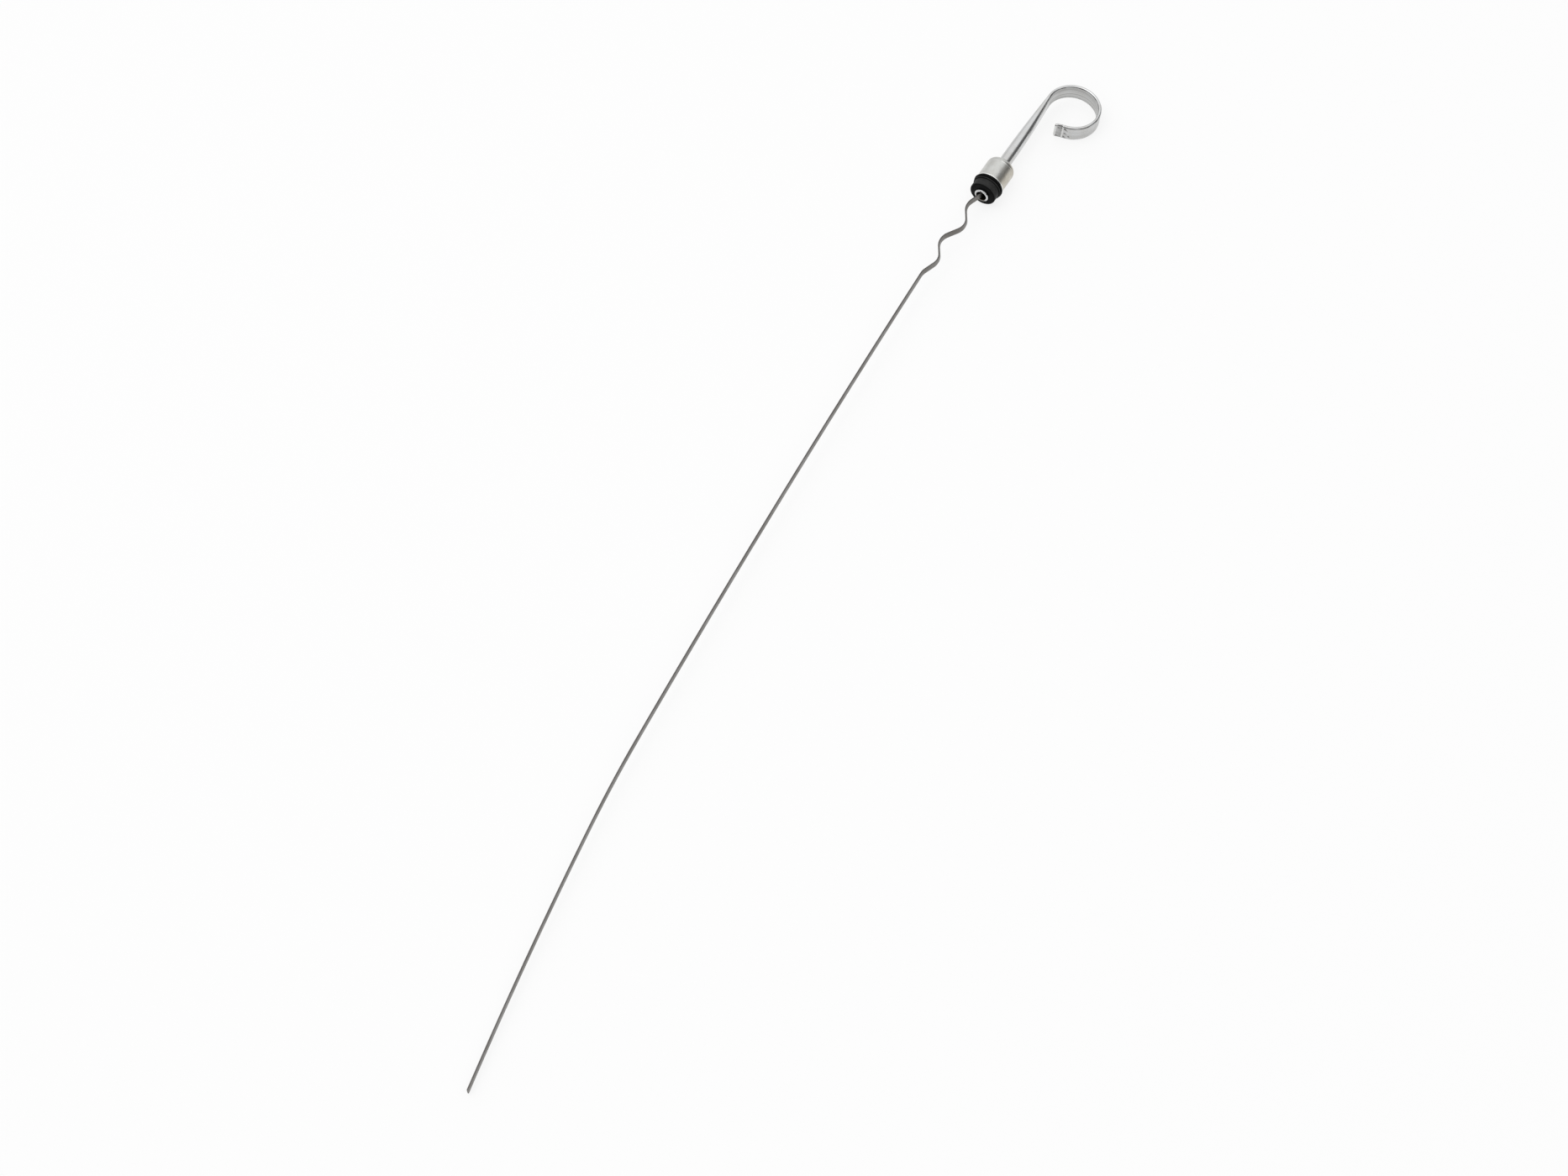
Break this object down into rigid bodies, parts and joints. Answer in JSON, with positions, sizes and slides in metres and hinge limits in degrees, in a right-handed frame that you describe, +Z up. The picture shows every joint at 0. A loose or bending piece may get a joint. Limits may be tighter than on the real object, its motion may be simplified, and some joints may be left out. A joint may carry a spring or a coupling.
{
  "type": "engine oil dipstick",
  "caption": "Oil level dipstick with a curled finger-hook tube handle, a capped rubber seal and a long flat spring-steel blade with waves below the seal.",
  "frame": {"origin": "on the handle tube's axis, in the plane where the seal's flange seats on the mouth of the engine's dipstick tube", "axes": "+X along the handle tube's axis towards the finger hook, the hook curls towards -Y, +Z up from the surface that the part lies on"},
  "size_m": [0.7749, 0.0647, 0.0196],
  "materials": {
    "zinc": "bright zinc plate over drawn steel",
    "rubber": "moulded black rubber, slightly dusty",
    "spring_steel": "satin rolled spring steel"
  },
  "bodies": {
    "root": {"handle": "zinc", "cap": "zinc", "seal": "rubber", "blade": "spring_steel"}
  },
  "joints": []
}
